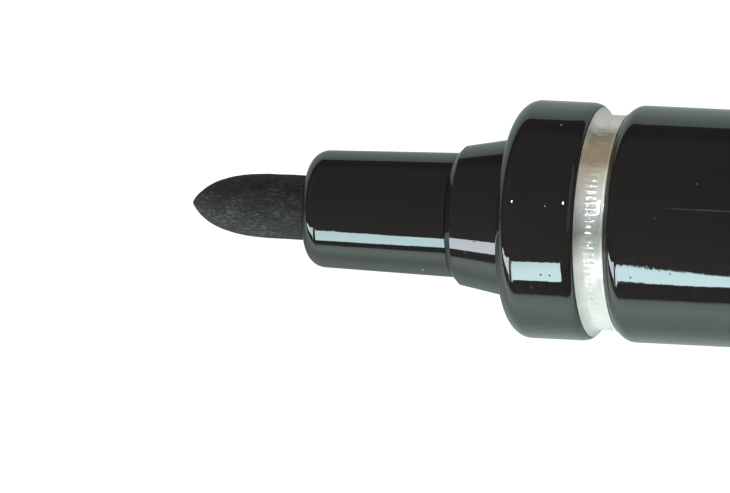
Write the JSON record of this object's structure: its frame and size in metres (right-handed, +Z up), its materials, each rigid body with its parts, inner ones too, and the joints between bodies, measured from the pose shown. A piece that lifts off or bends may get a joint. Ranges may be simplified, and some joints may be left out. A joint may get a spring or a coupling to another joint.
{
  "type": "felt tip marker",
  "caption": "Slim felt tip marker with a bullet nib, stepped black nose, translucent neck ring and a clip cap posted on its tail.",
  "frame": {"origin": "centre of the bottom of the bounding box, on the table that the pen lies on", "axes": "+X along the pen from the nib to the cap's closed end, +Z up, the clip towards -Y"},
  "size_m": [0.15, 0.0138, 0.0121],
  "materials": {
    "black_gloss": "moulded, polished, near black",
    "inked_felt": "bonded fibre soaked with black ink, matt",
    "natural_plastic": "unpigmented, translucent",
    "inked_wadding": "fibre wadding soaked with ink",
    "wrap_film": "thin clear film",
    "white_seal": "soft, satin"
  },
  "bodies": {
    "pen": {"nib": "inked_felt", "nib_holder": "black_gloss", "front_section": "black_gloss", "clear_ring": "natural_plastic", "barrel": "black_gloss", "reservoir_core": "inked_wadding", "reservoir_film": "wrap_film", "tail_plug": "black_gloss"},
    "cap": {"cap_shell": "black_gloss", "cap_inner_seal": "white_seal", "cap_end_plug": "black_gloss"},
    "clip": {"clip": "black_gloss"}
  },
  "joints": [
    {"name": "cap_slide", "type": "slide", "parent": "pen", "child": "cap", "axis": [1, 0, 0], "range_m": [0, 0.012]},
    {"name": "clip_flex", "type": "hinge", "parent": "cap", "child": "clip", "pos_m": [0.0715, -0.00379, 0.00287], "axis": [0, -0.5635, 0.8261], "range_deg": [0, 4], "stiffness_Nm_per_rad": 1}
  ]
}
